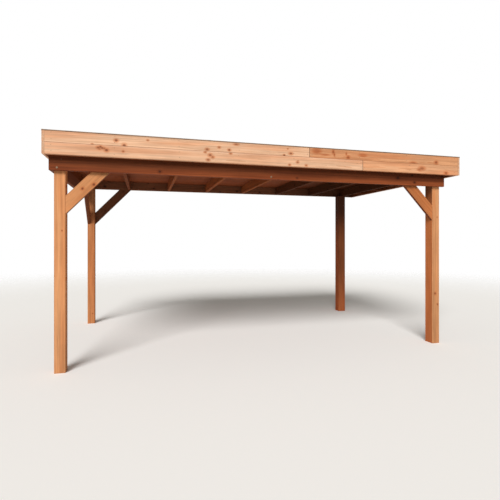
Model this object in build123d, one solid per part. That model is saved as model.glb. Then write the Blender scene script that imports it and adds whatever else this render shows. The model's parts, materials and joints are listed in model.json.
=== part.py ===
from build123d import *
import math
import os

# Flat-roofed timber patio cover. Millimetres, +Z up, +X to the right, the front faces -Y.
# The origin is on the floor, under the centre of the roof rectangle.

# Posts, measured over their outer faces
frame_length = 5120
frame_depth = 2880
post_section = 120
right_post_depth = 150
back_right_post_width = 150
back_right_post_inset = 25
post_arris = 4

# Lower beams, fixed to the outer faces of the front posts and of the left posts
beam_thickness = 45
beam_height = 160
beam_underside = 2268

# Rafters, back beam and rims, all on one level on top of the posts and beams
joist_thickness = 45
joist_height = 145
rafter_count = 7
first_rafter_inset = 732
last_rafter_inset = 56
timber_arris = 2.5

# Blocks between the last rafter and the right rim
nogging_count = 4

# Diagonal braces, whose feet are the brace drop below the lower beams
brace_thickness = 45
brace_width = 145
brace_drop = 483
brace_angle = 46

# Roof overhang, from the posts' outer faces to the fascia's outer face
overhang_left = 100
overhang_right = 245
overhang_front = 120

# Fascia of two overlapping boards
fascia_thickness = 28
fascia_cover = 132
fascia_bevel = 4
lap_height = 12
lap_clearance = 0.2
seam_gap = 2
upper_joint_from_left = 3130
lower_joint_from_left = 3900
butt_gap = 1

# Roof deck of grooved boards, kerb, membrane and edge trim
deck_thickness = 18
deck_board_cover = 121
deck_groove_width = 6
deck_groove_depth = 4
kerb_thickness = 45
membrane_thickness = 2
trim_thickness = 2
trim_lip = 10
trim_flange = 80

# Levels
plate_level = beam_underside + beam_height
brace_foot_level = beam_underside - brace_drop
deck_underside = plate_level + joist_height
deck_top = deck_underside + deck_thickness
fascia_bottom = plate_level
fascia_seam = fascia_bottom + fascia_cover
fascia_top = fascia_seam + fascia_cover

# Roof rectangle, over the fascia's outer faces
roof_length = overhang_left + frame_length + overhang_right
roof_depth = overhang_front + frame_depth + fascia_thickness
roof_left = -roof_length / 2
roof_right = roof_length / 2
roof_front = -roof_depth / 2
roof_back = roof_depth / 2

# Outer faces of the posts
post_left = roof_left + overhang_left
post_right = roof_right - overhang_right
post_front = roof_front + overhang_front
post_back = roof_back - fascia_thickness

# Inner faces of the fascia, which the rims, the deck and the kerb reach
inner_left = roof_left + fascia_thickness
inner_right = roof_right - fascia_thickness
inner_front = roof_front + fascia_thickness
inner_back = roof_back - fascia_thickness

# Each side of the roof: its first corner, its turn and its length, walked anticlockwise
roof_sides = {
    "front": ((roof_left, roof_front), 0, roof_length),
    "right": ((roof_right, roof_front), 90, roof_depth),
    "back": ((roof_right, roof_back), 180, roof_length),
    "left": ((roof_left, roof_back), 270, roof_depth),
}


def block(x_range, y_range, z_range):
    """A plain block between two corners."""
    size = [high - low for low, high in (x_range, y_range, z_range)]
    middle = [(low + high) / 2 for low, high in (x_range, y_range, z_range)]
    return Pos(*middle) * Box(*size)


def timber(x_range, y_range, z_range, grain, arris=timber_arris):
    """A planed timber with eased long edges. The grain axis is the way it runs."""
    solid = block(x_range, y_range, z_range)
    return chamfer(solid.edges().filter_by(grain), arris)


def post(x_face, y_face, x_inward, y_inward, width=post_section, depth=post_section):
    """A post whose outer faces lie at x_face and y_face, width from left to right and depth to the back."""
    x_range = sorted((x_face, x_face + x_inward * width))
    y_range = sorted((y_face, y_face + y_inward * depth))
    return timber(x_range, y_range, (0, plate_level), Axis.Z, post_arris)


def brace():
    """A diagonal brace in the XZ plane. It leaves the post at x = 0, and its back is at y = 0."""
    slope = math.tan(math.radians(brace_angle))
    plumb_cut = brace_width / math.cos(math.radians(brace_angle))
    rise = plate_level - brace_foot_level
    outline = Polyline(
        (0, brace_foot_level),
        (rise / slope, plate_level),
        ((rise - plumb_cut) / slope, plate_level),
        (0, brace_foot_level + plumb_cut),
        close=True,
    )
    solid = extrude(Plane.XZ * make_face(outline), amount=brace_thickness)
    raked = [edge for edge in solid.edges() if 0.1 < abs(edge.tangent_at(0).Z) < 0.9]
    return chamfer(raked, timber_arris)


def side_run(side, outline, depth, start=None, stop=None, outset=0):
    """An outline of (inward, height) points run along one side of the roof.

    An end that is left out is mitred at the roof's corner, for a run that reaches from
    outset outside the fascia's face to depth inside it.
    """
    corner, turn, length = roof_sides[side]
    low = -outset if start is None else start
    high = length + outset if stop is None else stop
    section = Plane(origin=(low, 0, 0), x_dir=(0, 1, 0), z_dir=(1, 0, 0))
    solid = extrude(section * make_face(Polyline(*outline, close=True)), amount=high - low)
    plan = Polyline(
        (low, -outset),
        (high, -outset),
        (length - depth if stop is None else high, depth),
        (depth if start is None else low, depth),
        close=True,
    )
    reach = Pos(0, 0, fascia_bottom - fascia_thickness) * extrude(
        make_face(plan), amount=fascia_top - fascia_bottom + 2 * fascia_thickness
    )
    return Location((corner[0], corner[1], 0), (0, 0, turn)) * (solid & reach)


def lower_board_outline():
    """The lower fascia board: bevelled at both front edges, with a tongue at the back."""
    half = fascia_thickness / 2
    return [
        (0, fascia_bottom + fascia_bevel),
        (fascia_bevel, fascia_bottom),
        (fascia_thickness, fascia_bottom),
        (fascia_thickness, fascia_seam + lap_height),
        (half, fascia_seam + lap_height),
        (half, fascia_seam),
        (fascia_bevel, fascia_seam),
        (0, fascia_seam - fascia_bevel),
    ]


def upper_board_outline():
    """The upper fascia board: rebated at the back, over the lower board's tongue."""
    lip = fascia_thickness / 2 - lap_clearance
    return [
        (0, fascia_seam + seam_gap),
        (lip, fascia_seam + seam_gap),
        (lip, fascia_seam + lap_height + lap_clearance),
        (fascia_thickness, fascia_seam + lap_height + lap_clearance),
        (fascia_thickness, fascia_top),
        (0, fascia_top),
    ]


def trim_outline():
    """The edge trim: a flange on the fascia and kerb, and a lip down the fascia's face."""
    return [
        (-trim_thickness, fascia_top - trim_lip),
        (0, fascia_top - trim_lip),
        (0, fascia_top),
        (trim_flange, fascia_top),
        (trim_flange, fascia_top + trim_thickness),
        (-trim_thickness, fascia_top + trim_thickness),
    ]


def roof_deck():
    """Deck boards that run left to right, with a V groove below each joint."""
    half_groove = deck_groove_width / 2
    outline = [(inner_front, deck_top), (inner_front, deck_underside)]
    joint = inner_front + deck_board_cover
    while joint < inner_back - half_groove:
        outline.append((joint - half_groove, deck_underside))
        outline.append((joint, deck_underside + deck_groove_depth))
        outline.append((joint + half_groove, deck_underside))
        joint += deck_board_cover
    outline += [(inner_back, deck_underside), (inner_back, deck_top)]
    section = Plane(origin=(inner_left, 0, 0), x_dir=(0, 1, 0), z_dir=(1, 0, 0))
    return extrude(section * make_face(Polyline(*outline, close=True)), amount=inner_right - inner_left)


def roof_membrane():
    """A thin tray: it lies on the deck and turns up the kerb to its top."""
    x_range = (inner_left + kerb_thickness, inner_right - kerb_thickness)
    y_range = (inner_front + kerb_thickness, inner_back - kerb_thickness)
    tray = block(x_range, y_range, (deck_top, fascia_top))
    hollow = block(
        (x_range[0] + membrane_thickness, x_range[1] - membrane_thickness),
        (y_range[0] + membrane_thickness, y_range[1] - membrane_thickness),
        (deck_top + membrane_thickness, fascia_top + membrane_thickness),
    )
    return tray - hollow


nodes = {}

# Posts
nodes["post_front_left"] = post(post_left, post_front, 1, 1)
nodes["post_front_right"] = post(post_right, post_front, -1, 1, depth=right_post_depth)
nodes["post_back_left"] = post(post_left, post_back, 1, -1)
nodes["post_back_right"] = post(
    post_right - back_right_post_inset, post_back, -1, -1, back_right_post_width, right_post_depth
)

# Lower beams: the front one covers the end of the left one
beam_levels = (beam_underside, plate_level)
nodes["front_beam"] = timber(
    (post_left - beam_thickness, post_right + beam_thickness),
    (post_front - beam_thickness, post_front),
    beam_levels,
    Axis.X,
)
nodes["left_side_beam"] = timber(
    (post_left - beam_thickness, post_left), (post_front, post_back), beam_levels, Axis.Y
)

# Back beam and rims
joist_levels = (plate_level, deck_underside)
rafter_back = inner_back - joist_thickness
rafter_front = inner_front + joist_thickness
nodes["back_beam"] = timber((inner_left, inner_right), (rafter_back, inner_back), joist_levels, Axis.X)
nodes["front_rim"] = timber((inner_left, inner_right), (inner_front, rafter_front), joist_levels, Axis.X)
nodes["left_rim"] = timber(
    (inner_left, inner_left + joist_thickness), (rafter_front, rafter_back), joist_levels, Axis.Y
)
nodes["right_rim"] = timber(
    (inner_right - joist_thickness, inner_right), (rafter_front, rafter_back), joist_levels, Axis.Y
)

# Rafters, counted from the left: the last one stands on the right posts. The insets of the first and
# the last run from the left and right posts' outer faces to each rafter's right face.
last_rafter_face = post_right - last_rafter_inset
rafter_spacing = (last_rafter_face - post_left - first_rafter_inset) / (rafter_count - 1)
for number in range(1, rafter_count + 1):
    face = last_rafter_face - (rafter_count - number) * rafter_spacing
    nodes[f"rafter_{number}"] = timber(
        (face - joist_thickness, face), (rafter_front, rafter_back), joist_levels, Axis.Y
    )

# Noggings that carry the right rim
nogging_pitch = (rafter_back - rafter_front) / (nogging_count + 1)
noggings = []
for number in range(1, nogging_count + 1):
    middle = rafter_front + number * nogging_pitch
    noggings.append(
        timber(
            (last_rafter_face, inner_right - joist_thickness),
            (middle - joist_thickness / 2, middle + joist_thickness / 2),
            joist_levels,
            Axis.X,
        )
    )
nodes["right_noggings"] = Compound(children=noggings)

# Braces, each flush with the outer faces of its posts
inner_post_left = post_left + post_section
inner_post_right = post_right - post_section
nodes["brace_front_left"] = Pos(inner_post_left, post_front + brace_thickness, 0) * brace()
nodes["brace_front_right"] = Location((inner_post_right, post_front, 0), (0, 0, 180)) * brace()
nodes["brace_back_left"] = Pos(inner_post_left, post_back, 0) * brace()
nodes["brace_side_left"] = (
    Location((post_left + brace_thickness, post_back - post_section, 0), (0, 0, 270)) * brace()
)

# Fascia: the side boards run through to the front and back, where their end grain shows. The boards
# of the long sides stand between them in two lengths, with their butt joints staggered.
half_gap = butt_gap / 2
between = {"start": fascia_thickness, "stop": roof_length - fascia_thickness}
courses = {
    "upper": (upper_board_outline(), upper_joint_from_left),
    "lower": (lower_board_outline(), lower_joint_from_left),
}
for course, (outline, joint) in courses.items():
    first = between | {"stop": joint - half_gap}
    second = between | {"start": joint + half_gap}
    nodes[f"fascia_front_{course}_left"] = side_run("front", outline, fascia_thickness, **first)
    nodes[f"fascia_front_{course}_right"] = side_run("front", outline, fascia_thickness, **second)
    nodes[f"fascia_back_{course}_right"] = side_run("back", outline, fascia_thickness, **first)
    nodes[f"fascia_back_{course}_left"] = side_run("back", outline, fascia_thickness, **second)
    nodes[f"fascia_left_{course}"] = side_run("left", outline, fascia_thickness, start=0, stop=roof_depth)
    nodes[f"fascia_right_{course}"] = side_run("right", outline, fascia_thickness, start=0, stop=roof_depth)

# Roof
nodes["roof_deck"] = roof_deck()
nodes["roof_membrane"] = roof_membrane()
kerb_levels = (deck_top, fascia_top)
kerb_front = inner_front + kerb_thickness
kerb_back = inner_back - kerb_thickness
nodes["kerb_front"] = block((inner_left, inner_right), (inner_front, kerb_front), kerb_levels)
nodes["kerb_back"] = block((inner_left, inner_right), (kerb_back, inner_back), kerb_levels)
nodes["kerb_left"] = block((inner_left, inner_left + kerb_thickness), (kerb_front, kerb_back), kerb_levels)
nodes["kerb_right"] = block((inner_right - kerb_thickness, inner_right), (kerb_front, kerb_back), kerb_levels)
for side in roof_sides:
    nodes[f"edge_trim_{side}"] = side_run(side, trim_outline(), trim_flange, outset=trim_thickness)

os.makedirs("parts", exist_ok=True)
for name, solid in nodes.items():
    export_step(solid, f"parts/{name}.step")
print(len(nodes), "nodes written")
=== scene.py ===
"""Dresses the flat-roofed timber patio cover: its finishes, its fixings, its light and its camera.

Every size is in metres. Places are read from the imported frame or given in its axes, and the knots of the
front fascia are given from the roof's left end and the fascia's lower edge.
"""

from __future__ import annotations

import json
import logging
import math
import random
from dataclasses import dataclass, field
from enum import Enum
from typing import Sequence, Union

import bmesh
import bpy
from mathutils import Matrix, Vector

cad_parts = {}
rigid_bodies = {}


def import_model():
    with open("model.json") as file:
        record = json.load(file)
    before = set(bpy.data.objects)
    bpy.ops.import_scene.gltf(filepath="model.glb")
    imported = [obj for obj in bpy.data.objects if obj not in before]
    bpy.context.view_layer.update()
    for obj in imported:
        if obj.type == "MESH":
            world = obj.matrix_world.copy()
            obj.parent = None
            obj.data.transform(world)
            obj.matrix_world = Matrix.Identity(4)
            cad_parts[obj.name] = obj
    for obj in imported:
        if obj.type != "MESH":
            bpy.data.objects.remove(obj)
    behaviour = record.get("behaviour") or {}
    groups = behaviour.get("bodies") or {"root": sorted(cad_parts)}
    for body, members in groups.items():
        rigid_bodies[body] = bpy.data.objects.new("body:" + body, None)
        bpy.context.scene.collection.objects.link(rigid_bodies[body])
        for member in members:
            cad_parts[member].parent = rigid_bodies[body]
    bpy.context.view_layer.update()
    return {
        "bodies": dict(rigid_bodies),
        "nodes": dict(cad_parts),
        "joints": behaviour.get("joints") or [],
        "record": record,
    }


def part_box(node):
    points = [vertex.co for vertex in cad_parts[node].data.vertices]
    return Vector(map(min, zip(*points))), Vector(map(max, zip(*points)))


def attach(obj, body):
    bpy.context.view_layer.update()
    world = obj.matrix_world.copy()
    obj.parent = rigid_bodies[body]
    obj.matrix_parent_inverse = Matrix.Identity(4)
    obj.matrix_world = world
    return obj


log = logging.getLogger("patio_cover")

Colour = tuple[float, float, float]
Number = Union[int, float]
Outline = Sequence[tuple[float, float]]

BODY = "root"
UP = Vector((0, 0, 1))
BRACE_RAKE = math.radians(46)
# Edges that turn by more than SHARP are bevelled, and places closer than NEAR are one place.
SHARP = math.radians(50)
NEAR = 1e-6

# How far the grain moves on for each unit of a piece's seed, and from board to board. Boards are counted
# from FIRST_BOARD widths before the middle, so that every number is above zero.
SEED_STEP = 7.3
BOARD_STEP = 3.7
FIRST_BOARD = 200

# Where the end tones, which are mostly painted shade, set in and are full, as shares of the way from the
# middle to the end.
FAR_FADE = (0.15, 0.8)
NEAR_FADE = (0.1, 0.95)

# How dark the line at a timber's end is, and how far from the end it is full and fades out.
PLAIN_STAIN = 0.15
JOINT_STAIN = 0.75
LEFT_CORNER_STAIN = 0.20
RIGHT_CORNER_STAIN = 0.45
STAIN_EDGE = 0.001
STAIN_WIDTH = 0.006

# Where the painted edge shade sets in from the lower edge, as a share of the width, and the painted
# highlight along the upper edge.
LOWER_EDGE = -0.48
HIGHLIGHT_BLEND = 0.012
HIGHLIGHT_TINT = (1.12, 1.17, 1.26)

# How squarely a face looks to the front or down where it starts to count, and where it counts in full, for
# the painted shade on faces away from the front, and the tint of the painted shade underneath.
FRONT_TURN = (0.3, 0.8)
UNDER_TURN = (0.3, 0.7)
UNDERSIDE_SHADE = (0.42, 0.34, 0.30)

# Where the shade close under the roof sets in and is full, as shares of a post's length.
TOP_FADE = (0.27, 0.40)

# A knot in radii: the edges of its core and its halo, its own rings, and how it bends the grain.
CORE_EDGE = (0.55, 1.2)
CORE_TONE = 0.80
HALO_EDGE = (0.9, 2.8)
RING_RATE = 16.0
RING_TONE = 0.12
BEND_FALL = -0.16
BEND_PULL = -0.85
LEAST_KNOT = 0.00001


class Grain(Enum):
    """The way a timber's grain runs: along, across its wide face, and through its thickness."""

    ALONG_X = (Vector((1, 0, 0)), Vector((0, 0, 1)), Vector((0, 1, 0)))
    ALONG_Y = (Vector((0, 1, 0)), Vector((0, 0, 1)), Vector((1, 0, 0)))
    UPRIGHT = (Vector((0, 0, 1)), Vector((1, 0, 0)), Vector((0, 1, 0)))
    FLAT_X = (Vector((1, 0, 0)), Vector((0, 1, 0)), Vector((0, 0, 1)))


class Side(Enum):
    """A side of the roof, and the way it faces."""

    FRONT = Vector((0, -1, 0))
    BACK = Vector((0, 1, 0))
    LEFT = Vector((-1, 0, 0))
    RIGHT = Vector((1, 0, 0))


class Signal:
    """A socket's value inside a material, so that shader maths reads as plain expressions."""

    def __init__(self, graph: "Graph", socket: bpy.types.NodeSocket) -> None:
        """Wraps an output socket of the graph."""
        self.graph = graph
        self.socket = socket

    def __add__(self, other: "Operand") -> "Signal":
        """This plus the other."""
        return self.graph.math("ADD", self, other)

    def __radd__(self, other: "Operand") -> "Signal":
        """The other plus this."""
        return self.graph.math("ADD", other, self)

    def __sub__(self, other: "Operand") -> "Signal":
        """This minus the other."""
        return self.graph.math("SUBTRACT", self, other)

    def __rsub__(self, other: "Operand") -> "Signal":
        """The other minus this."""
        return self.graph.math("SUBTRACT", other, self)

    def __mul__(self, other: "Operand") -> "Signal":
        """This times the other."""
        return self.graph.math("MULTIPLY", self, other)

    def __rmul__(self, other: "Operand") -> "Signal":
        """The other times this."""
        return self.graph.math("MULTIPLY", other, self)

    def __truediv__(self, other: "Operand") -> "Signal":
        """This divided by the other."""
        return self.graph.math("DIVIDE", self, other)

    def __rtruediv__(self, other: "Operand") -> "Signal":
        """The other divided by this."""
        return self.graph.math("DIVIDE", other, self)

    def __pow__(self, other: "Operand") -> "Signal":
        """This raised to the other."""
        return self.graph.math("POWER", self, other)

    def __rpow__(self, other: "Operand") -> "Signal":
        """The other raised to this."""
        return self.graph.math("POWER", other, self)

    def __lt__(self, other: "Operand") -> "Signal":
        """One where this is less than the other, and zero elsewhere."""
        return self.graph.math("LESS_THAN", self, other)

    def __gt__(self, other: "Operand") -> "Signal":
        """One where this is more than the other, and zero elsewhere."""
        return self.graph.math("GREATER_THAN", self, other)

    def __abs__(self) -> "Signal":
        """This without its sign."""
        return self.graph.math("ABSOLUTE", self)


Operand = Union[Signal, Number]
Spots = tuple[Signal, Signal, Signal]


class Graph:
    """Builds one material's nodes."""

    def __init__(self, name: str) -> None:
        """Starts a material with its shader and output.

        Args:
            name: The material's name.
        """
        self.material = bpy.data.materials.new(name)
        self.material.use_nodes = True
        self.tree = self.material.node_tree
        self.tree.nodes.clear()
        self.shader = self.tree.nodes.new("ShaderNodeBsdfPrincipled")
        output = self.tree.nodes.new("ShaderNodeOutputMaterial")
        self.tree.links.new(self.shader.outputs[0], output.inputs[0])

    def node(self, kind: str, settings: dict | None = None, sockets: dict | None = None) -> bpy.types.Node:
        """Adds a node of any type.

        Args:
            kind: The node's type.
            settings: Its own settings, which are set first.
            sockets: Values or signals for its inputs, by name or number.

        Returns:
            The new node.
        """
        made = self.tree.nodes.new(kind)
        for key, value in (settings or {}).items():
            setattr(made, key, value)
        for key, value in (sockets or {}).items():
            self.feed(made.inputs[key], value)
        return made

    def feed(self, socket: bpy.types.NodeSocket, value: Operand | Sequence[float]) -> None:
        """Links a signal to a socket, or sets the socket to a plain value.

        Args:
            socket: The input to feed.
            value: A signal, a number, a colour or a vector.
        """
        if isinstance(value, Signal):
            self.tree.links.new(value.socket, socket)
        elif isinstance(value, (int, float)):
            socket.default_value = value
        else:
            width = len(socket.default_value)
            socket.default_value = (*value, 1.0)[:width] if width == 4 else tuple(value)

    def math(self, operation: str, *operands: Operand) -> Signal:
        """A Math node's result."""
        made = self.node("ShaderNodeMath", {"operation": operation}, dict(enumerate(operands)))
        return Signal(self, made.outputs[0])

    def vector(self, operation: str, *operands: Signal | Sequence[float], output: str = "Vector") -> Signal:
        """A Vector Math node's result."""
        made = self.node("ShaderNodeVectorMath", {"operation": operation}, dict(enumerate(operands)))
        return Signal(self, made.outputs[output])

    def join(self, x: Operand, y: Operand, z: Operand) -> Signal:
        """A vector of three numbers."""
        return Signal(self, self.node("ShaderNodeCombineXYZ", None, {0: x, 1: y, 2: z}).outputs[0])

    def mix(self, share: Operand, low: Signal | Colour, high: Signal | Colour, blend: str = "MIX") -> Signal:
        """A colour between two colours.

        Args:
            share: How much of the second colour shows, from zero to one.
            low: The first colour.
            high: The second colour.
            blend: How the second lies over the first.

        Returns:
            The mixed colour.
        """
        made = self.node("ShaderNodeMix", {"data_type": "RGBA", "blend_type": blend}, {0: share})
        self.feed(made.inputs[6], low)
        self.feed(made.inputs[7], high)
        return Signal(self, made.outputs[2])

    def tint(self, share: Operand, colour: Signal, tone: Signal | Colour) -> Signal:
        """A colour that is multiplied by a tone, as far as the share says."""
        return self.mix(share, colour, tone, "MULTIPLY")

    def step(self, value: Operand, low: Number, high: Number) -> Signal:
        """A smooth rise from zero to one.

        Args:
            value: The value that is tested.
            low: Where the rise starts.
            high: Where it ends, which may be less than low.

        Returns:
            The rise, held between zero and one.
        """
        settings = {"interpolation_type": "SMOOTHSTEP", "clamp": True}
        made = self.node("ShaderNodeMapRange", settings, {0: value, 1: low, 2: high, 3: 0.0, 4: 1.0})
        return Signal(self, made.outputs[0])

    def noise(self, place: Signal, scale: Number = 1.0, detail: Number = 2.0, rough: Number = 0.5) -> Signal:
        """Smooth noise around one half."""
        sockets = {"Vector": place, "Scale": scale, "Detail": detail, "Roughness": rough}
        return Signal(self, self.node("ShaderNodeTexNoise", None, sockets).outputs["Fac"])

    def place_output(self, output: str) -> Signal:
        """One of Texture Coordinate's outputs: Object is the place on the piece, in metres."""
        return Signal(self, self.node("ShaderNodeTexCoord").outputs[output])

    def facing(self, direction: Sequence[float]) -> Signal:
        """How far the surface faces a direction, which is one where it faces it squarely."""
        return self.vector("DOT_PRODUCT", self.place_output("Normal"), direction, output="Value")

    def set_shader(self, **sockets: Operand | Sequence[float]) -> None:
        """Feeds the shader's sockets, whose names are written with _ for each space."""
        for name, value in sockets.items():
            self.feed(self.shader.inputs[name.replace("_", " ")], value)

    def set_bump(self, height: Signal, distance: float, strength: float) -> None:
        """Raises the surface.

        Args:
            height: How far it rises, in units of distance.
            distance: The length in metres of one unit of height.
            strength: How much of the bump shows.
        """
        sockets = {"Strength": strength, "Distance": distance, "Height": height}
        bump = self.node("ShaderNodeBump", None, sockets)
        self.tree.links.new(bump.outputs[0], self.shader.inputs["Normal"])


@dataclass(frozen=True)
class Figure:
    """A noise that is drawn out along the grain: its waves a metre along and across, and its detail."""

    along: float
    across: float
    detail: float = 2.0
    rough: float = 0.5

    def draw(self, graph: Graph, spots: Spots) -> Signal:
        """Draws the noise on a timber.

        Args:
            graph: The material's graph.
            spots: The distances along, across and through the timber.

        Returns:
            The noise around one half.
        """
        along, across, through = spots
        place = graph.join(along * self.along, across * self.across, through * self.across)
        return graph.noise(place, 1.0, self.detail, self.rough)


DRIFT = Figure(0.9, 4.0, 1.0)
WANDER = Figure(3.0, 30.0, 1.0)
FIBRE = Figure(9.0, 420.0, 2.0, 0.6)
STREAK = Figure(1.6, 46.0, 3.0, 0.6)
FLUSH = Figure(0.8, 11.0)
CLOUD = Figure(6.0, 13.0)
SPLIT_LINE = Figure(1.1, 60.0, 1.0)
SPLIT_PLACE = Figure(2.21, 11.7, 1.0)


@dataclass(frozen=True)
class Knot:
    """A knot at a chosen place on a piece, longer along the grain where its stretch is over one.

    A depth under one leaves a red flame in the wood and little of the dark core.
    """

    place: tuple[float, float, float]
    radius: float
    stretch: float = 1.3
    depth: float = 1.0


@dataclass(frozen=True)
class Placement:
    """Where a timber's grain pattern lies: the timber's middle, grain axes, seed, length and tone.

    The tone multiplies its colours, and for many timbers it is darkened as painted shade. The end tones and
    shade multiply them once more towards the grain's two ends, mostly as painted shade, and the painted edge
    shade sets one tone at its lower edge and another above its middle. The end stains darken a line at each
    end. A painted highlight lies on it from the given height above its middle, unless that is zero. A
    painted side shade is for faces away from the front, and the top shade for those close under the roof.
    """

    middle: Vector
    axes: tuple[Vector, Vector, Vector]
    seed: float
    length: float
    width: float
    tone: Colour = (1.0, 1.0, 1.0)
    end_tones_and_shade: tuple[float, float] = (1.0, 1.0)
    painted_edge_shade: tuple[float, float] = (1.0, 1.0)
    end_stains: tuple[float, float] = (PLAIN_STAIN, PLAIN_STAIN)
    highlight_from: float = 0.0
    side_shade: Colour | None = None
    top_shade: float = 1.0

    def coordinates(self, graph: Graph) -> Spots:
        """The place on the timber, measured from its middle.

        Args:
            graph: The material's graph.

        Returns:
            The distances along, across and through the timber.
        """
        offset = graph.vector("SUBTRACT", graph.place_output("Object"), tuple(self.middle))
        along, across, through = (
            graph.vector("DOT_PRODUCT", offset, tuple(axis), output="Value") for axis in self.axes
        )
        return along, across, through

    def find(self, point: Sequence[float]) -> tuple[float, float]:
        """A point's distances along and across the timber from its middle."""
        offset = Vector(point) - self.middle
        return offset.dot(self.axes[0]), offset.dot(self.axes[1])

    def along_tone(self, graph: Graph, spot: Signal) -> Signal:
        """The tone that changes along the grain: the end tones, which are mostly painted shade, and stained
        ends.

        Args:
            graph: The material's graph.
            spot: The distance along the timber from its middle.

        Returns:
            The factor that the colours are multiplied by.
        """
        half = self.length / 2
        near, far = self.end_tones_and_shade
        # end tones: mostly painted shade under the roof, and painted light at some feet
        fade = graph.step(spot, *(half * share for share in FAR_FADE)) * (far - 1.0) + 1.0
        fade = fade * (graph.step(spot, *(-half * share for share in NEAR_FADE)) * (near - 1.0) + 1.0)
        near_stain, far_stain = self.end_stains
        outer, inner = half - STAIN_EDGE, half - STAIN_WIDTH
        fade = fade * (1.0 - graph.step(spot, -inner, -outer) * near_stain)
        return fade * (1.0 - graph.step(spot, inner, outer) * far_stain)

    def painted_shade_across(self, graph: Graph, across: Signal) -> Operand:
        """Painted shade that changes from the lower edge to the middle.

        Args:
            graph: The material's graph.
            across: The distance across the timber from its middle.

        Returns:
            The factor that the colours are multiplied by.
        """
        lower, upper = self.painted_edge_shade
        if lower == upper:
            return lower
        # painted light at the lower edge, painted shade above the middle
        return graph.step(across, self.width * LOWER_EDGE, 0.0) * (upper - lower) + lower

    def painted_highlight(self, graph: Graph, colour: Signal, across: Signal) -> Signal:
        """The colour with a painted highlight along its upper edge, where there is one.

        Args:
            graph: The material's graph.
            colour: The colour so far.
            across: The distance across the timber from its middle.

        Returns:
            The new colour.
        """
        if not self.highlight_from:
            return colour
        # a painted highlight along the board's upper edge
        share = graph.step(across, self.highlight_from, self.highlight_from + HIGHLIGHT_BLEND)
        return graph.tint(share, colour, HIGHLIGHT_TINT)

    def paint_side_shade(self, graph: Graph, colour: Signal, spot: Signal) -> Signal:
        """The colour with painted shade on every face but the front, and deeper painted shade underneath.

        Args:
            graph: The material's graph.
            colour: The colour so far.
            spot: The distance along the timber from its middle.

        Returns:
            The new colour.
        """
        if self.side_shade is None:
            return colour
        # painted shade on the faces away from the front
        share = 1.0 - graph.step(graph.facing(tuple(Side.FRONT.value)), *FRONT_TURN)
        tone: Signal | Colour = self.side_shade
        if self.top_shade < 1.0:
            close = graph.step(spot, *(self.length * share for share in TOP_FADE))
            shaded = tuple(part * self.top_shade for part in self.side_shade)
            tone = graph.mix(close, self.side_shade, shaded)
        colour = graph.tint(share, colour, tone)
        # deeper painted shade on faces that look down
        return graph.tint(graph.step(graph.facing(tuple(-UP)), *UNDER_TURN), colour, UNDERSIDE_SHADE)


@dataclass(frozen=True)
class Growth:
    """What has grown into a timber's face: the knots' tone, their halo and how far they bend the grain."""

    tone: Signal
    halo: Signal
    bend: Signal

    def with_knot(self, graph: Graph, other: "Growth") -> "Growth":
        """Adds another knot.

        Args:
            graph: The material's graph.
            other: The other knot's growth.

        Returns:
            This growth with the other in it.
        """
        return Growth(
            graph.math("MAXIMUM", self.tone, other.tone),
            graph.math("MAXIMUM", self.halo, other.halo),
            self.bend + other.bend,
        )


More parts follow.
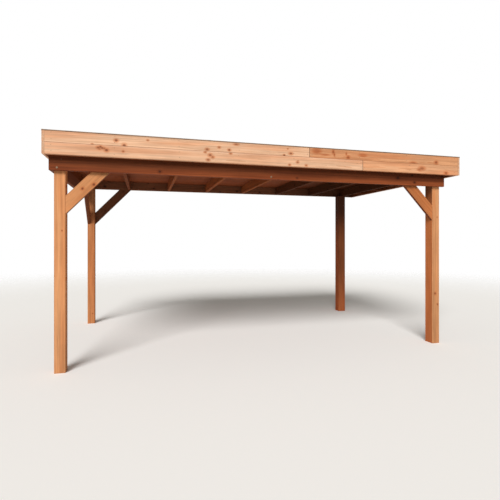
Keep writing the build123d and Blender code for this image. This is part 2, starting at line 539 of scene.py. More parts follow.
@dataclass(frozen=True)
class TimberFinish:
    """A kind of softwood: its colours, its growth rings, its knots and its planed surface.

    Where board_pitch isn't zero, the piece stands for boards of that width laid side by side. A share is
    how much of what it is named for shows, and a range is where a noise sets in and where it is full. A
    random knot's size is knot_radius times a number between the two of knot_spread. The pith is how far
    across and through the timber the tree's middle lies, each times a number from its spread.
    """

    name: str
    pale: Colour
    dark: Colour
    blush: Colour
    knot: Colour = (0.125, 0.034, 0.013)
    flame: Colour = (0.42, 0.125, 0.036)
    ring_width: float = 0.0060
    ring_depth: float = 0.60
    blush_share: float = 0.5
    knot_cell: tuple[float, float] = (0.42, 0.11)
    knot_radius: float = 0.010
    knot_spread: tuple[float, float] = (0.4, 1.3)
    knot_flatness: float = 0.75
    knot_scatter: float = 0.8
    knot_chance: float = 0.5
    pith: tuple[float, float] = (-0.03, 0.11)
    pith_spreads: tuple[tuple[float, float], tuple[float, float]] = ((0.4, 1.6), (0.8, 1.3))
    roughness: float = 0.62
    sheen: float = 0.25
    board_pitch: float = 0.0
    drift_bend: float = 0.05
    wander_share: float = 0.8
    ring_edge: float = 2.5
    flush_range: tuple[float, float] = (0.42, 0.66)
    streak_range: tuple[float, float] = (0.25, 0.75)
    base_shade: float = 0.72
    streak_share: float = 0.34
    fibre_share: float = 0.22
    board_share: float = 0.25
    cloud_share: float = 0.20
    halo_share: float = 0.6
    check_share: float = 0.7
    check_width: float = 0.006
    check_range: tuple[float, float] = (0.60, 0.66)
    relief: float = 0.0006

    def material(self, name: str, place: Placement, knots: Sequence[Knot] = ()) -> bpy.types.Material:
        """Makes the material of one piece.

        Args:
            name: The material's name.
            place: The piece's middle, grain, seed and tone.
            knots: Knots at chosen places, beside those that grow at random.

        Returns:
            The material.
        """
        graph = Graph(name)
        spot, across, through = place.coordinates(graph)
        board = self._board_draw(graph, across)
        along = spot + place.seed * SEED_STEP + board * BOARD_STEP
        growth = self._random_knots(graph, along, across)
        for knot in knots:
            growth = growth.with_knot(graph, self._chosen_knot(graph, knot, place, (spot, across)))

        spots = along, across, through
        drift, fibre = DRIFT.draw(graph, spots), FIBRE.draw(graph, spots)
        bent = across + growth.bend + (drift - 0.5) * self.drift_bend
        radius = self._pith_distance(graph, bent, through, place.seed)
        wander = WANDER.draw(graph, spots) * self.wander_share
        ring = graph.math("FRACT", radius / self.ring_width + wander) ** self.ring_edge
        check = self._checks(graph, spots)

        colour = graph.mix(ring * self.ring_depth, self.pale, self.dark)
        flush = graph.step(FLUSH.draw(graph, spots), *self.flush_range)
        colour = graph.mix(flush * self.blush_share, colour, self.blush)
        streak = graph.step(STREAK.draw(graph, spots), *self.streak_range)
        shade = streak * self.streak_share + fibre * self.fibre_share + self.base_shade
        shade = shade + (board - 0.5) * self.board_share
        cloud = (drift + CLOUD.draw(graph, spots)) * self.cloud_share
        shade = shade * (1.0 - self.cloud_share + cloud)
        # painted shade along the grain, and across the front beam
        shade = shade * place.along_tone(graph, spot) * place.painted_shade_across(graph, across)
        colour = graph.mix(growth.halo * self.halo_share, colour, self.flame)
        colour = graph.mix(growth.tone, colour, self.knot)
        colour = graph.tint(1.0, colour, graph.join(*(shade * part for part in place.tone)))
        # a painted highlight along the upper edge
        colour = place.painted_highlight(graph, colour, across)
        # painted shade on faces away from the front and underneath
        colour = place.paint_side_shade(graph, colour, spot)
        colour = graph.mix(check * self.check_share, colour, self.knot)

        graph.set_shader(
            Base_Color=colour,
            Roughness=self.roughness + fibre * 0.16 - ring * 0.08,
            Specular_IOR_Level=self.sheen,
        )
        height = fibre * 0.5 + ring * 0.35 - growth.tone * 0.4 - check * 1.5
        graph.set_bump(height, self.relief, 0.6)
        return graph.material

    def _board_draw(self, graph: Graph, across: Signal) -> Operand:
        """A number from zero to one for each board.

        Args:
            graph: The material's graph.
            across: The distance across the piece from its middle.

        Returns:
            The number, which is one half throughout a single timber.
        """
        if self.board_pitch == 0:
            return 0.5
        index = graph.math("FLOOR", (across + FIRST_BOARD * self.board_pitch) / self.board_pitch)
        draw = graph.node("ShaderNodeTexWhiteNoise", {"noise_dimensions": "1D"}, {"W": index})
        return Signal(graph, draw.outputs["Value"])

    def _random_knots(self, graph: Graph, along: Signal, across: Signal) -> Growth:
        """Knots at random places, which differ in size.

        Args:
            graph: The material's graph.
            along: The distance along the grain, moved on by the piece's seed.
            across: The distance across the piece from its middle.

        Returns:
            Their growth.
        """
        cell_along, cell_across = self.knot_cell
        spot = graph.join(along / cell_along, across / cell_across, 0.0)
        sockets = {"Vector": spot, "Scale": 1.0, "Randomness": self.knot_scatter}
        cell = graph.node("ShaderNodeTexVoronoi", None, sockets)
        offset = graph.vector("SUBTRACT", spot, Signal(graph, cell.outputs["Position"]))
        offset = graph.vector("MULTIPLY", offset, (cell_along, cell_across, 0.0))
        draw = graph.node("ShaderNodeSeparateColor", None, {0: Signal(graph, cell.outputs["Color"])})
        grown = Signal(graph, draw.outputs[0]) < self.knot_chance
        least, most = self.knot_spread
        spread = Signal(graph, draw.outputs[1]) * (most - least) + least
        size = grown * spread * self.knot_radius + LEAST_KNOT
        flat = graph.vector("MULTIPLY", offset, (self.knot_flatness, 1.0, 0.0))
        reach = graph.vector("LENGTH", flat, output="Value")
        sideways = graph.vector("DOT_PRODUCT", offset, (0.0, 1.0, 0.0), output="Value")
        return self._knot_shape(graph, reach / size, sideways)

    def _chosen_knot(
        self, graph: Graph, knot: Knot, place: Placement, spot: tuple[Signal, Signal]
    ) -> Growth:
        """One knot at a chosen place.

        Args:
            graph: The material's graph.
            knot: The knot.
            place: The timber that it grows in.
            spot: The distances along and across the timber from its middle.

        Returns:
            Its growth.
        """
        knot_along, knot_across = place.find(knot.place)
        offset_along = (spot[0] - knot_along) / knot.stretch
        sideways = spot[1] - knot_across
        away = graph.math("SQRT", offset_along * offset_along + sideways * sideways) / knot.radius
        grown = self._knot_shape(graph, away, sideways)
        return Growth(grown.tone * knot.depth, grown.halo, grown.bend)

    @staticmethod
    def _knot_shape(graph: Graph, away: Signal, sideways: Signal) -> Growth:
        """A knot's dark core, its own rings, its halo and the grain that bends round it.

        Args:
            graph: The material's graph.
            away: The distance from the knot's middle, in knot radii.
            sideways: The distance across the grain from its middle, in metres.

        Returns:
            Its growth.
        """
        core = 1.0 - graph.step(away, *CORE_EDGE)
        rings = graph.math("SINE", away * RING_RATE) * RING_TONE
        halo = 1.0 - graph.step(away, *HALO_EDGE)
        bend = sideways * graph.math("EXPONENT", away * away * BEND_FALL) * BEND_PULL
        return Growth(core * (CORE_TONE + rings), halo, bend)

    def _pith_distance(self, graph: Graph, across: Signal, through: Signal, seed: float) -> Signal:
        """The distance from the tree's pith, which lies off the middle of the timber.

        Args:
            graph: The material's graph.
            across: The distance across the timber, bent round its knots.
            through: The distance through the timber from its middle.
            seed: The number that the pith's place is drawn from.

        Returns:
            The distance, in metres.
        """
        draw = random.Random(seed)
        spread_across, spread_through = self.pith_spreads
        off_across = across - self.pith[0] * draw.uniform(*spread_across)
        off_through = through - self.pith[1] * draw.choice((-1, 1)) * draw.uniform(*spread_through)
        return graph.math("SQRT", off_across * off_across + off_through * off_through)

    def _checks(self, graph: Graph, spots: Spots) -> Signal:
        """Fine drying splits along the grain, here and there."""
        line = 1.0 - graph.step(abs(SPLIT_LINE.draw(graph, spots) - 0.5), 0.0, self.check_width)
        return line * graph.step(SPLIT_PLACE.draw(graph, spots), *self.check_range)


@dataclass(frozen=True)
class MetalFinish:
    """A weathered metal: its colour, how dull it is, how mottled, and how fine its scratches are."""

    name: str
    colour: Colour
    dull: Colour
    metallic: float = 0.85
    roughness: float = 0.42
    mottle: float = 90.0
    grime_scale: float = 8.1
    scratches: tuple[float, float, float] = (9.0, 9.0, 600.0)
    relief: float = 0.0002

    def material(self) -> bpy.types.Material:
        """Makes the metal's material.

        Returns:
            The material.
        """
        graph = Graph(self.name)
        place = graph.place_output("Object")
        cloud = graph.noise(place, self.mottle, 3.0, 0.6)
        grime = graph.step(graph.noise(place, self.grime_scale, 4.0, 0.65), 0.45, 0.75)
        scratch = graph.noise(graph.vector("MULTIPLY", place, self.scratches))
        graph.set_shader(
            Base_Color=graph.mix(grime * 0.7 + cloud * 0.25, self.colour, self.dull),
            Metallic=self.metallic - grime * 0.35,
            Roughness=self.roughness + cloud * 0.18 + grime * 0.2,
        )
        graph.set_bump(cloud * 0.6 + scratch * 0.4, self.relief, 0.5)
        return graph.material


@dataclass(frozen=True)
class SheetFinish:
    """A roofing sheet: dark, with a fine mineral grit, and faint tide marks where rain has stood."""

    name: str
    colour: Colour
    dust: Colour
    grit_share: float = 0.35
    roughness: float = 0.86
    grit_scale: float = 700.0
    speck_scale: float = 240.0
    cloud_scale: float = 0.9
    streaks: tuple[float, float, float] = (2.4, 3.6, 3.6)
    sheen: float = 0.3
    relief: float = 0.0009

    def material(self) -> bpy.types.Material:
        """Makes the sheet's material.

        Returns:
            The material.
        """
        graph = Graph(self.name)
        place = graph.place_output("Object")
        grit = graph.noise(place, self.grit_scale, 2.0, 0.7)
        cloud = graph.noise(place, self.cloud_scale, 3.0, 0.55)
        streak = graph.noise(graph.vector("MULTIPLY", place, self.streaks), 1.0, 4.0, 0.60)
        speck = graph.step(graph.noise(place, self.speck_scale, 1.0), 0.60, 0.72)
        dust = graph.step(cloud * 0.6 + streak * 0.4, 0.34, 0.72) * 0.55 + speck * self.grit_share
        graph.set_shader(
            Base_Color=graph.mix(dust, self.colour, self.dust),
            Roughness=self.roughness - grit * 0.15,
            Specular_IOR_Level=self.sheen,
        )
        graph.set_bump(grit + speck * 0.6, self.relief, 0.6)
        return graph.material


FASCIA = TimberFinish(
    "fascia",
    pale=(0.703, 0.456, 0.302),
    dark=(0.543, 0.270, 0.142),
    blush=(0.607, 0.287, 0.151),
    flame=(0.46, 0.125, 0.024),
    blush_share=0.6,
    knot_cell=(0.8, 0.13),
    knot_chance=0.3,
    knot_radius=0.009,
)
POST = TimberFinish(
    "post",
    pale=(0.560, 0.275, 0.125),
    dark=(0.340, 0.115, 0.038),
    blush=(0.470, 0.165, 0.054),
    knot_cell=(0.60, 0.12),
    knot_chance=0.35,
    sheen=0.18,
)
# The lower beams' finish: a darker, redder timber, darkened further as painted shade from the fascia above.
BEAM = TimberFinish(
    "beam",
    pale=(0.178, 0.0455, 0.0143),
    dark=(0.062, 0.0157, 0.0062),
    blush=(0.112, 0.0247, 0.0076),
    knot=(0.030, 0.008, 0.004),
    flame=(0.08, 0.018, 0.006),
    blush_share=0.7,
    knot_cell=(0.50, 0.10),
    knot_radius=0.012,
    knot_chance=0.16,
    sheen=0.10,
)
# The roof timbers' finish, darker than the wood is, as painted shade under the roof.
ROOF = TimberFinish(
    "roof",
    pale=(0.285, 0.079, 0.0225),
    dark=(0.133, 0.033, 0.0105),
    blush=(0.212, 0.047, 0.0120),
    knot=(0.035, 0.010, 0.005),
    flame=(0.09, 0.020, 0.007),
    sheen=0.03,
)
# The deck's finish, darker than the wood is, as painted shade under the roof.
DECK = TimberFinish(
    "deck",
    pale=(0.237, 0.0625, 0.0225),
    dark=(0.118, 0.0290, 0.0105),
    blush=(0.200, 0.0420, 0.0150),
    knot=(0.030, 0.009, 0.005),
    flame=(0.07, 0.017, 0.006),
    board_pitch=0.121,
    sheen=0.02,
)
TRIM = MetalFinish("edge_trim_metal", (0.27, 0.165, 0.100), (0.10, 0.064, 0.042), 0.42, 0.55)
SLEEVE = MetalFinish("trim_sleeve_metal", (0.31, 0.205, 0.135), (0.12, 0.082, 0.056), 0.45, 0.5)
STEEL = MetalFinish("fixing_metal", (0.30, 0.22, 0.15), (0.13, 0.085, 0.055), metallic=0.7, roughness=0.5)
MEMBRANE = SheetFinish("membrane_sheet", (0.030, 0.030, 0.032), (0.125, 0.120, 0.112))
LAP = SheetFinish("membrane_lap", (0.040, 0.040, 0.042), (0.155, 0.148, 0.138))
BLEED = SheetFinish("membrane_bleed", (0.010, 0.010, 0.011), (0.030, 0.028, 0.026), 0.10, 0.42)


def fascia_spot(left: float, up: float) -> tuple[float, float, float]:
    """A place on the front fascia's face, from the roof's left end and the fascia's lower edge."""
    low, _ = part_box("fascia_left_lower")
    return low.x + left, low.y, low.z + up


# Each knot's distance from the roof's left end and from the fascia's lower edge, radius, stretch and depth.
FASCIA_KNOTS = {
    "fascia_front_upper_left": (
        (0.767, 0.193, 0.014, 1.2, 0.9), (0.854, 0.142, 0.015, 1.2, 0.9), (1.113, 0.218, 0.008, 1.3, 0.5),
        (1.803, 0.154, 0.012, 1.4, 0.7), (1.949, 0.187, 0.010, 1.3, 0.5), (2.160, 0.236, 0.009, 2.5, 0.6),
        (2.873, 0.166, 0.012, 1.6, 0.8),
    ),
    "fascia_front_upper_right": (
        (3.230, 0.222, 0.026, 1.4, 0.20), (3.465, 0.222, 0.019, 0.6, 0.50), (3.482, 0.186, 0.016, 0.5, 0.45),
        (3.350, 0.176, 0.007, 6.0, 0.20), (3.655, 0.205, 0.013, 0.6, 0.30), (3.682, 0.161, 0.015, 1.0, 0.5),
        (3.900, 0.200, 0.014, 2.5, 0.1), (4.686, 0.133, 0.017, 2.2, 0.4), (5.066, 0.167, 0.016, 1.3, 0.7),
    ),
    "fascia_front_lower_left": (
        (0.576, 0.101, 0.011, 1.4, 0.8), (0.600, 0.110, 0.012, 1.1, 0.9), (0.619, 0.098, 0.011, 1.3, 0.8),
        (0.641, 0.095, 0.009, 1.2, 0.6), (0.664, 0.076, 0.014, 1.2, 0.9), (0.590, 0.086, 0.008, 1.6, 0.4),
        (0.843, 0.073, 0.009, 1.1, 0.6), (1.840, 0.086, 0.015, 1.2, 0.7), (1.868, 0.066, 0.012, 1.3, 0.6),
        (1.815, 0.029, 0.012, 1.4, 0.7), (1.780, 0.118, 0.009, 1.4, 0.5),
        (2.091, 0.122, 0.009, 1.4, 0.5), (2.965, 0.060, 0.011, 1.3, 0.7), (2.856, 0.021, 0.010, 1.3, 0.7),
        (3.083, 0.025, 0.010, 1.3, 0.6),
    ),
    "fascia_front_lower_right": (
        (4.830, 0.071, 0.019, 1.8, 0.5), (4.790, 0.050, 0.012, 2.0, 0.4), (5.232, 0.023, 0.015, 1.5, 0.6),
    ),
}
# Each knot's place in the frame's axes, radius and stretch.
TIMBER_KNOTS = {
    "brace_front_left": ((-2.336, -1.394, 2.078, 0.013, 1.2), (-2.214, -1.394, 2.128, 0.014, 1.2)),
    "post_front_right": ((2.417, -1.394, 0.722, 0.013, 1.2), (2.462, -1.394, 0.560, 0.008, 1.2)),
    "front_beam": ((1.761, -1.439, 2.362, 0.016, 1.5), (0.255, -1.439, 2.299, 0.009, 1.4)),
}
# Tones towards the near and the far end of the grain. Most are painted shade: the deck and the back beam
# darken to the right, and the back posts and the front braces darken towards their upper ends under the
# roof. The back right post and the front braces are lighter at their feet as painted sunlight. The front
# posts are darker towards their feet.
END_TONES_AND_SHADE = {
    "roof_deck": (1.0, 0.28),
    "back_beam": (1.0, 0.50),
    "post_back_right": (1.16, 0.20),
    "post_back_left": (1.0, 0.90),
    "post_front_right": (0.86, 1.08),
    "post_front_left": (0.88, 1.08),
    "brace_front_left": (1.12, 0.72),
    "brace_front_right": (1.18, 0.86),
}
# Painted light at the front beam's lower edge, and painted shade from the fascia above its middle.
PAINTED_EDGE_SHADES = {
    "front_beam": (1.46, 0.73),
}
# Painted shade on the faces that look away from the front.
POST_SIDE_SHADE = (1.0, 0.80, 0.62)
SIDE_SHADES = {
    "post_front_right": (1.0, 0.66, 0.46),
}
# The shade close under the roof.
TOP_SHADES = {
    "post_front_right": 0.38,
}
# How far above a board's middle its painted highlight starts.
PAINTED_HIGHLIGHTS = {
    "fascia_front_lower_left": 0.042,
}
# The way each brace rises, away from its post.
BRACE_DIRECTIONS = {
    "brace_front_left": Side.RIGHT.value,
    "brace_front_right": Side.LEFT.value,
    "brace_back_left": Side.RIGHT.value,
    "brace_side_left": Side.FRONT.value,
}
FASCIA_BOARDS = tuple(
    f"fascia_{side}_{course}_{end}"
    for side in ("front", "back")
    for course in ("upper", "lower")
    for end in ("left", "right")
) + tuple(f"fascia_{side}_{course}" for side in ("left", "right") for course in ("upper", "lower"))
# What a node's colours are multiplied by, where that isn't drawn at random. The fascia boards' and the front
# left brace's tones are the wood's own; the other tones darken and tint their nodes as painted shade under
# the roof.
TONES_AND_SHADES = {
    "fascia_front_upper_left": (0.97, 0.95, 0.93),
    "fascia_front_upper_right": (0.83, 0.64, 0.49),
    "fascia_front_lower_left": (0.935, 0.89, 0.86),
    "fascia_front_lower_right": (0.905, 0.75, 0.625),
    "brace_front_left": (0.97, 0.90, 0.83),
    "brace_front_right": (0.74, 0.54, 0.40),
    "brace_back_left": (0.26, 0.19, 0.17),
    "brace_side_left": (0.60, 0.43, 0.32),
    "post_back_right": (0.68, 0.43, 0.33),
    "post_back_left": (0.84, 0.74, 0.66),
    "back_beam": (0.62, 0.86, 1.45),
    "left_rim": (0.60, 0.54, 0.52),
    "rafter_1": (0.66, 0.64, 0.66),
    "rafter_4": (0.92, 0.92, 0.92),
    "rafter_5": (0.32, 0.35, 0.46),
    "rafter_6": (0.26, 0.30, 0.42),
    "rafter_7": (0.25, 0.29, 0.40),
    "right_noggings": (0.40, 0.37, 0.36),
    "right_rim": (0.50, 0.46, 0.44),
}


def brace_axes(name: str) -> tuple[Vector, Vector, Vector]:
    """The grain axes of a brace, which rises away from its post.

    Args:
        name: The brace's node.

    Returns:
        The directions along, across and through the brace.
    """
    outward = BRACE_DIRECTIONS[name]
    along = outward * math.cos(BRACE_RAKE) + UP * math.sin(BRACE_RAKE)
    across = outward * -math.sin(BRACE_RAKE) + UP * math.cos(BRACE_RAKE)
    return along, across, along.cross(across)


@dataclass
class Timbers:
    """The frame's timbers, each with a grain pattern of its own."""

    frame: dict
    seed: int = 11
    cast: tuple[float, float] = (0.94, 1.05)
    seeds: tuple[float, float] = (1.0, 60.0)

    def dress(self) -> None:
        """Gives every timber node its finish."""
        draw = random.Random(self.seed)
        for name in sorted(self.frame["nodes"]):
            choice = self._choice(name)
            if choice is None:
                continue
            finish, axes = choice
            low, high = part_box(name)
            cast = draw.uniform(*self.cast)
            place = Placement(
                middle=(low + high) / 2,
                axes=axes,
                seed=draw.uniform(*self.seeds),
                length=self._reach(axes[0], high - low),
                width=self._reach(axes[1], high - low),
                tone=TONES_AND_SHADES.get(name, (cast, cast, cast)),
                end_tones_and_shade=END_TONES_AND_SHADE.get(name, (1.0, 1.0)),
                painted_edge_shade=PAINTED_EDGE_SHADES.get(name, (1.0, 1.0)),
                end_stains=self._end_stains(name),
                highlight_from=PAINTED_HIGHLIGHTS.get(name, 0.0),
                side_shade=SIDE_SHADES.get(name, POST_SIDE_SHADE if finish is POST else None),
                top_shade=TOP_SHADES.get(name, 1.0),
            )
            material = finish.material(f"{finish.name}_{name}", place, self._knots(name))
            replace_materials(self.frame["nodes"][name], material)
            log.info("dressed %s", name)

    @staticmethod
    def _end_stains(name: str) -> tuple[float, float]:
        """How dark the lines at a node's ends are, which is darkest where two boards butt.

        Args:
            name: The node's name.

        Returns:
            The stains at the near and the far end of its grain.
        """
        if name.startswith("fascia") and name.endswith("_left"):
            return LEFT_CORNER_STAIN, JOINT_STAIN
        if name.startswith("fascia") and name.endswith("_right"):
            return JOINT_STAIN, RIGHT_CORNER_STAIN
        return PLAIN_STAIN, PLAIN_STAIN

    @staticmethod
    def _reach(axis: Vector, size: Vector) -> float:
        """How far a box of this size reaches along an axis."""
        return sum(abs(part) * reach for part, reach in zip(axis, size))

    @staticmethod
    def _knots(name: str) -> list[Knot]:
        """The knots at chosen places on a node."""
        on_fascia = [Knot(fascia_spot(*spot[:2]), *spot[2:]) for spot in FASCIA_KNOTS.get(name, ())]
        return on_fascia + [Knot(spot[:3], *spot[3:]) for spot in TIMBER_KNOTS.get(name, ())]

    @staticmethod
    def _choice(name: str) -> tuple[TimberFinish, tuple[Vector, Vector, Vector]] | None:
        """The finish and the grain of a node.

        Args:
            name: The node's name.

        Returns:
            The finish and the grain's axes, or None where the node isn't timber.
        """
        sideways = "front" in name or "back" in name or name == "right_noggings"
        run = (Grain.ALONG_X if sideways else Grain.ALONG_Y).value
        if name.startswith("post"):
            return POST, Grain.UPRIGHT.value
        if name.startswith("brace"):
            return POST, brace_axes(name)
        if name.startswith("fascia"):
            return FASCIA, run
        if name in ("front_beam", "left_side_beam"):
            return BEAM, run
        if name == "roof_deck":
            return DECK, Grain.FLAT_X.value
        if name.startswith(("rafter", "kerb", "back_beam", "front_rim", "left_rim", "right_")):
            return ROOF, run
        return None


def to_mesh(shape: bmesh.types.BMesh, name: str) -> bpy.types.Mesh:
    """Turns a finished shape into a mesh.

    Args:
        shape: The shape, which is freed.
        name: The mesh's name.

    Returns:
        The mesh.
    """
    mesh = bpy.data.meshes.new(name)
    shape.to_mesh(mesh)
    shape.free()
    return mesh


def replace_materials(piece: bpy.types.Object, material: bpy.types.Material) -> None:
    """Gives a piece one material throughout."""
    piece.data.materials.clear()
    piece.data.materials.append(material)


@dataclass(frozen=True)
class Head:
    """A fixing's head, turned about its axis, with a star-shaped socket in its crown.

    The outline is radius and height from the rim to the socket's edge. The star is how far in the
    socket's inner corners lie, as a share of the way to its outer ones.
    """

    outline: tuple[tuple[float, float], ...]
    socket_depth: float
    steps: int = 12
    star: float = 0.72

    def template(self, name: str) -> bpy.types.Mesh:
        """Makes one head that stands on the origin and faces up.

        Args:
            name: The mesh's name.

        Returns:
            The mesh.
        """
        shape = bmesh.new()
        chain = [shape.verts.new((radius, 0.0, height)) for radius, height in self.outline]
        edges = [shape.edges.new(pair) for pair in zip(chain, chain[1:])]
        bmesh.ops.spin(
            shape,
            geom=chain + edges,
            axis=(0, 0, 1),
            cent=(0, 0, 0),
            angle=math.tau,
            steps=self.steps,
            use_merge=True,
        )
        inner = self.outline[-1][0]
        rim = [v for v in shape.verts if abs(math.hypot(v.co.x, v.co.y) - inner) < NEAR]
        rim.sort(key=lambda v: math.atan2(v.co.y, v.co.x))
        for vert in rim[::2]:
            vert.co.x *= self.star
            vert.co.y *= self.star
        floor = shape.faces.new(rim)
        walls = bmesh.ops.extrude_discrete_faces(shape, faces=[floor])
        moved = [v for face in walls["faces"] for v in face.verts]
        bmesh.ops.translate(shape, verts=moved, vec=(0, 0, -self.socket_depth))
        bmesh.ops.remove_doubles(shape, verts=shape.verts[:], dist=NEAR)
        bmesh.ops.recalc_face_normals(shape, faces=shape.faces[:])
        return to_mesh(shape, name)


class Fastener(Enum):
    """A kind of fixing, with its head."""

    SCREW = Head(((0.0040, 0.0), (0.0040, 0.0002), (0.0034, 0.0006), (0.0018, 0.0008)), 0.0006)
    BOLT = Head(
        (
            (0.0115, 0.0), (0.0115, 0.0014), (0.0108, 0.0019), (0.0076, 0.0021), (0.0075, 0.0025),
            (0.0072, 0.0046), (0.0052, 0.0062), (0.0026, 0.0066),
        ),
        0.0020,
        16,
    )


@dataclass
class Piece:
    """A new piece that is built up from parts and then added to the scene."""

    name: str
    slot: str
    shape: bmesh.types.BMesh = field(default_factory=bmesh.new)

    def add_copy(self, template: bpy.types.Mesh, point: Vector, outward: Vector, turn: float = 0.0) -> None:
        """Adds a copy of a template.

        Args:
            template: The mesh, which stands on the origin and faces up.
            point: Where the copy stands.
            outward: The way it faces.
            turn: The angle that it is turned about its own axis first.
        """
        known = len(self.shape.verts)
        self.shape.from_mesh(template)
        self.shape.verts.ensure_lookup_table()
        facing = outward.to_track_quat("Z", "Y").to_matrix().to_4x4()
        move = Matrix.Translation(point) @ facing @ Matrix.Rotation(turn, 4, "Z")
        bmesh.ops.transform(self.shape, matrix=move, verts=self.shape.verts[known:])

    def add_run(self, outline: Outline, start: Vector, along: Vector, up: Vector) -> None:
        """Adds a closed outline that is run along a straight line.

        Args:
            outline: Points as (to the right of the run, up).
            start: Where the run starts.
            along: The run itself.
            up: The outline's upward direction.
        """
        right = along.normalized().cross(up)
        verts = [self.shape.verts.new(start + right * x + up * z) for x, z in outline]
        face = self.shape.faces.new(verts)
        made = bmesh.ops.extrude_face_region(self.shape, geom=[face])
        moved = [item for item in made["geom"] if isinstance(item, bmesh.types.BMVert)]
        bmesh.ops.translate(self.shape, verts=moved, vec=along)

    def soften(self, width: float) -> None:
        """Bevels the sharp edges.

        Args:
            width: The bevel's width.
        """
        self.shape.normal_update()
        sharp = [e for e in self.shape.edges if e.is_manifold and e.calc_face_angle(0.0) > SHARP]
        bmesh.ops.bevel(
            self.shape, geom=sharp, offset=width, segments=2, profile=0.5, affect="EDGES", material=-1
        )

    def finish(self, material: bpy.types.Material, smooth: float = 40.0) -> None:
        """Adds the piece to the scene.

        Args:
            material: Its material.
            smooth: The greatest angle in degrees between faces that shade as one.
        """
        bmesh.ops.recalc_face_normals(self.shape, faces=self.shape.faces[:])
        for face in self.shape.faces:
            face.smooth = True
        for edge in self.shape.edges:
            edge.smooth = edge.is_manifold and edge.calc_face_angle(0.0) < math.radians(smooth)
        mesh = to_mesh(self.shape, self.name)
        mesh.materials.append(material)
        made = bpy.data.objects.new(self.name, mesh)
        bpy.context.scene.collection.objects.link(made)
        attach(made, BODY)
        log.info("built %s with %d faces", self.name, len(mesh.polygons))


@dataclass
class Fixings:
    """The screws of the boards and braces, and the coach bolts of the lower beams.

    A front place is a post, how far to the right of its middle and how far above the beam's lower edge
    the fixing is, and its kind. The middle place is measured from the roof's middle. A side place is how
    far behind the middle of each left post the bolt is, and how far above the side beam's lower edge.
    """

    material: bpy.types.Material
    end_inset: float = 0.065
    joint_inset: float = 0.030
    last_clearance: float = 0.2
    board_heights: tuple[float, float] = (0.036, 0.104)
    board_slack: float = 0.004
    height_slack: float = 0.002
    rafter_pitch: float = 0.722
    front_places: tuple[tuple[str, float, float, Fastener], ...] = (
        ("post_front_left", -0.021, 0.029, Fastener.BOLT),
        ("post_front_left", 0.024, 0.124, Fastener.SCREW),
        ("post_front_right", 0.020, 0.029, Fastener.SCREW),
        ("post_front_right", -0.022, 0.124, Fastener.SCREW),
    )
    middle_place: tuple[float, float] = (-0.096, 0.031)
    side_places: tuple[tuple[float, float], ...] = ((-0.022, 0.033), (0.024, 0.126))
    brace_runs: tuple[float, float] = (0.045, 0.085)
    brace_slack: float = 0.009
    draw: random.Random = field(default_factory=lambda: random.Random(5))
    heads: dict[Fastener, bpy.types.Mesh] = field(default_factory=dict)

    def build(self) -> None:
        """Makes every fixing."""
        self.heads = {kind: kind.value.template(f"{kind.name.lower()}_template") for kind in Fastener}
        self._fascia_screws()
        self._beam_bolts()
        self._brace_screws()
        for head in self.heads.values():
            bpy.data.meshes.remove(head)

    def _fix(self, piece: Piece, kind: Fastener, point: Vector, outward: Vector) -> None:
        """Adds a fixing that is turned at random."""
        piece.add_copy(self.heads[kind], point, outward, self.draw.uniform(0.0, math.tau))

    def _fascia_screws(self) -> None:
        """Pairs of screws in each board, near its ends and in line with the rafters."""
        for side in Side:
            piece = Piece(f"fascia_screws_{side.name.lower()}", "edge_trim")
            for board in FASCIA_BOARDS:
                if board.startswith(f"fascia_{side.name.lower()}_"):
                    self._screw_board(piece, board, side.value)
            piece.finish(self.material)

    def _screw_board(self, piece: Piece, board: str, outward: Vector) -> None:
        """Adds the screws of one board.

        Args:
            piece: The piece that the screws go into.
            board: The board's node.
            outward: The way its face looks.
        """
        low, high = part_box(board)
        axis = 0 if outward.x == 0 else 1
        face = high if sum(outward) > 0 else low
        length = high[axis] - low[axis]
        left_inset = self.joint_inset if board.endswith("right") else self.end_inset
        right_inset = self.joint_inset if board.endswith("left") else self.end_inset
        rafters = [self.rafter_pitch * n for n in range(1, 1 + int(length / self.rafter_pitch))]
        inner = [spot for spot in rafters if spot < length - self.last_clearance]
        for spot in (left_inset, *inner, length - right_inset):
            for height in self.board_heights:
                lift = self.draw.uniform(-self.height_slack, self.height_slack)
                point = Vector((0.0, 0.0, low.z + height + lift))
                point[axis] = low[axis] + spot + self.draw.uniform(-self.board_slack, self.board_slack)
                point[1 - axis] = face[1 - axis]
                self._fix(piece, Fastener.SCREW, point, outward)

    def _beam_bolts(self) -> None:
        """Staggered coach bolts and screws where the lower beams cross the posts."""
        piece = Piece("beam_bolts", "edge_trim")
        front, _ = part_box("front_beam")
        side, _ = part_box("left_side_beam")
        for post, shift, height, kind in self.front_places:
            low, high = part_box(post)
            point = Vector(((low.x + high.x) / 2 + shift, front.y, front.z + height))
            self._fix(piece, kind, point, Side.FRONT.value)
        across, height = self.middle_place
        middle = Vector((across, front.y, front.z + height))
        piece.add_copy(self.heads[Fastener.BOLT], middle, Side.FRONT.value)
        for post in ("post_front_left", "post_back_left"):
            low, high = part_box(post)
            for shift, height in self.side_places:
                point = Vector((side.x, (low.y + high.y) / 2 + shift, side.z + height))
                self._fix(piece, Fastener.BOLT, point, Side.LEFT.value)
        piece.finish(self.material, 30.0)

    def _brace_screws(self) -> None:
        """Two long screws at each end of each brace, driven in at its lower edge."""
        piece = Piece("brace_screws", "edge_trim")
        near, far = self.brace_runs
        for name, outward in BRACE_DIRECTIONS.items():
            low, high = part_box(name)
            middle = (low + high) / 2
            foot = Vector((low.x if outward.x > 0 else high.x, middle.y, low.z))
            if outward.x == 0:
                foot = Vector((middle.x, high.y, low.z))
            along, across, _ = brace_axes(name)
            width = outward.cross(UP)
            length = (high.z - low.z) / math.sin(BRACE_RAKE)
            for run in (near, far, length - far, length - near):
                aside = width * self.draw.uniform(-self.brace_slack, self.brace_slack)
                self._fix(piece, Fastener.SCREW, foot + along * run + aside, -across)
        piece.finish(self.material)


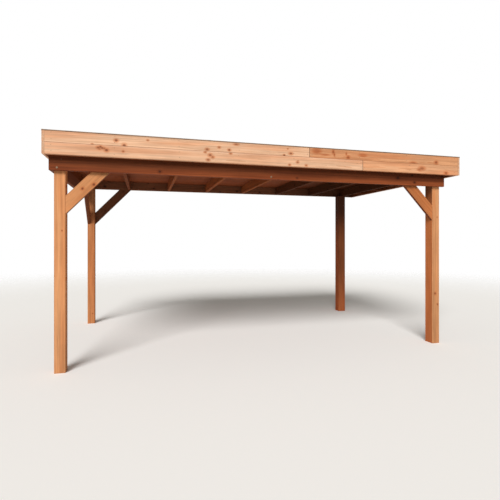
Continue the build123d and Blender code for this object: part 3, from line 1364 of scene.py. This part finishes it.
@dataclass
class RoofCover:
    """What lies over the roof: the membrane with its lapped seams, and the edge trim with its sleeves.

    The bead is an outline as (out from the lap's edge, up).
    """

    frame: dict
    lap_width: float = 0.100
    lap_taper: float = 0.006
    lap_rise: float = 0.0018
    bead: Outline = ((-0.004, 0.0), (0.012, 0.0), (0.009, 0.0012), (0.002, 0.0026))
    sheet_width: float = 1.00
    sheet_gauge: float = 0.002
    end_gap: float = 0.0022
    upstand: float = 0.075
    sleeve_places: tuple[float, float] = (-0.92, 0.90)
    sleeve_length: float = 0.070
    sleeve_flange: float = 0.083
    sleeve_gauge: float = 0.0012
    sleeve_bevel: float = 0.0004

    def dress(self) -> None:
        """Gives the membrane and the edge trim their finishes."""
        sheet, trim = MEMBRANE.material(), TRIM.material()
        replace_materials(self.frame["nodes"]["roof_membrane"], sheet)
        for side in Side:
            replace_materials(self.frame["nodes"][f"edge_trim_{side.name.lower()}"], trim)
        log.info("dressed the membrane and the edge trim")

    def build(self) -> None:
        """Makes the seams and sleeves."""
        half = self.lap_width / 2
        top = half - self.lap_taper
        strip = ((-half, 0.0), (half, 0.0), (top, self.lap_rise), (-top, self.lap_rise))
        self._seams("laps", strip, LAP)
        self._seams("beads", tuple((half + out, up) for out, up in self.bead), BLEED)
        self._sleeves()

    def _seams(self, name: str, outline: Outline, finish: SheetFinish) -> None:
        """Runs an outline across the roof at each of the membrane's seams, and up both kerbs.

        Args:
            name: What the runs are.
            outline: The outline as (to the right of the seam, up from the sheet).
            finish: The runs' finish.
        """
        low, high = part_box("roof_membrane")
        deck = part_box("roof_deck")[1].z + self.sheet_gauge
        count = int((high.x - low.x) / self.sheet_width)
        across = Vector((0, high.y - low.y - 2 * self.end_gap, 0))
        piece = Piece(f"membrane_{name}", "membrane")
        for number in range(1, count + 1):
            x = low.x + number * (high.x - low.x) / (count + 1)
            piece.add_run(outline, Vector((x, low.y + self.end_gap, deck)), across, UP)
            for y, inward in ((low.y + self.sheet_gauge, 1), (high.y - self.sheet_gauge, -1)):
                mirrored = [(place * -inward, up) for place, up in outline]
                piece.add_run(mirrored, Vector((x, y, deck)), UP * self.upstand, Vector((0, inward, 0)))
        piece.finish(finish.material(), 20.0)

    def _sleeves(self) -> None:
        """Thin sleeves over the joints of the edge trim."""
        piece = Piece("trim_sleeves", "edge_trim")
        gauge, flange = self.sleeve_gauge, self.sleeve_flange
        low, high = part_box("edge_trim_front")
        back, top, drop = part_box("edge_trim_back")[1].y, high.z, high.z - low.z
        outline = (
            (0.0, -drop), (gauge, -drop), (gauge, gauge), (-flange, gauge), (-flange, 0.0), (0.0, 0.0),
        )
        half = self.sleeve_length / 2
        across, away = Vector((self.sleeve_length, 0, 0)), Vector((0, self.sleeve_length, 0))
        for x in self.sleeve_places:
            piece.add_run(outline, Vector((x - half, low.y, top)), across, UP)
            piece.add_run(outline, Vector((x + half, back, top)), -across, UP)
        piece.add_run(outline, Vector((low.x, half, top)), -away, UP)
        piece.add_run(outline, Vector((high.x, -half, top)), away, UP)
        piece.soften(self.sleeve_bevel)
        piece.finish(SLEEVE.material())


@dataclass
class Studio:
    """The floor, the light and the camera.

    The surround lights the object with the fill, and has the seen colour where it is looked at. The floor
    fades out between the two distances of its fade.
    """

    eye: tuple[float, float, float] = (-1.6699, -6.2162, 1.486)
    heading: float = 0.2643
    lens: float = 28.404
    sensor: float = 36.0
    shift_y: float = -0.01854
    fill: Colour = (0.28, 0.262, 0.235)
    seen: Colour = (1.0, 1.0, 1.0)
    floor_reach: float = 60.0
    floor_colour: Colour = (0.92, 0.935, 0.95)
    floor_roughness: float = 0.9
    floor_fade: tuple[float, float] = (6.0, 16.0)
    key_energy: float = 3.45
    key_angle: float = math.radians(28)
    key_colour: Colour = (1.0, 0.965, 0.92)
    key_direction: tuple[float, float, float] = (0.363, 0.712, -0.602)

    def build(self) -> None:
        """Makes the floor, the lights, the world and the camera."""
        self._floor()
        self._lights()
        self._world()
        self._camera()
        log.info("built the studio")

    def _floor(self) -> None:
        """A wide pale floor, which fades into the surround."""
        shape = bmesh.new()
        bmesh.ops.create_grid(shape, x_segments=1, y_segments=1, size=self.floor_reach)
        mesh = to_mesh(shape, "studio_floor")
        floor = bpy.data.objects.new("studio_floor", mesh)
        bpy.context.scene.collection.objects.link(floor)
        graph = Graph("studio_floor")
        away = graph.vector("LENGTH", graph.place_output("Object"), output="Value")
        shown = 1.0 - graph.step(away, *self.floor_fade)
        graph.set_shader(Base_Color=self.floor_colour, Roughness=self.floor_roughness, Alpha=shown)
        mesh.materials.append(graph.material)

    def _lights(self) -> None:
        """A broad high key from the front left."""
        key = bpy.data.lights.new("key", "SUN")
        key.energy = self.key_energy
        key.angle = self.key_angle
        key.color = self.key_colour
        lamp = bpy.data.objects.new("key", key)
        lamp.rotation_euler = Vector(self.key_direction).to_track_quat("-Z", "Y").to_euler()
        bpy.context.scene.collection.objects.link(lamp)

    def _world(self) -> None:
        """An even pale surround, which is white where it is seen."""
        world = bpy.data.worlds.new("surround")
        bpy.context.scene.world = world
        world.use_nodes = True
        nodes, links = world.node_tree.nodes, world.node_tree.links
        nodes.clear()
        path = nodes.new("ShaderNodeLightPath")
        glow = nodes.new("ShaderNodeMix")
        glow.data_type = "RGBA"
        glow.inputs[6].default_value = (*self.fill, 1.0)
        glow.inputs[7].default_value = (*self.seen, 1.0)
        links.new(path.outputs["Is Camera Ray"], glow.inputs[0])
        background = nodes.new("ShaderNodeBackground")
        links.new(glow.outputs[2], background.inputs["Color"])
        output = nodes.new("ShaderNodeOutputWorld")
        links.new(background.outputs[0], output.inputs[0])

    def _camera(self) -> None:
        """The photograph's view: level, with upright verticals."""
        data = bpy.data.cameras.new("camera")
        data.lens = self.lens
        data.sensor_width = self.sensor
        data.shift_y = self.shift_y
        camera = bpy.data.objects.new("camera", data)
        camera.location = self.eye
        camera.rotation_euler = (math.radians(90), 0.0, -self.heading)
        bpy.context.scene.collection.objects.link(camera)
        bpy.context.scene.camera = camera


def main() -> None:
    """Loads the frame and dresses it."""
    logging.basicConfig(level=logging.INFO, format="%(name)s: %(message)s")
    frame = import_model()
    bpy.context.scene.view_settings.view_transform = "Standard"
    Timbers(frame).dress()
    cover = RoofCover(frame)
    cover.dress()
    Fixings(STEEL.material()).build()
    cover.build()
    Studio().build()


if __name__ == "__main__":
    main()
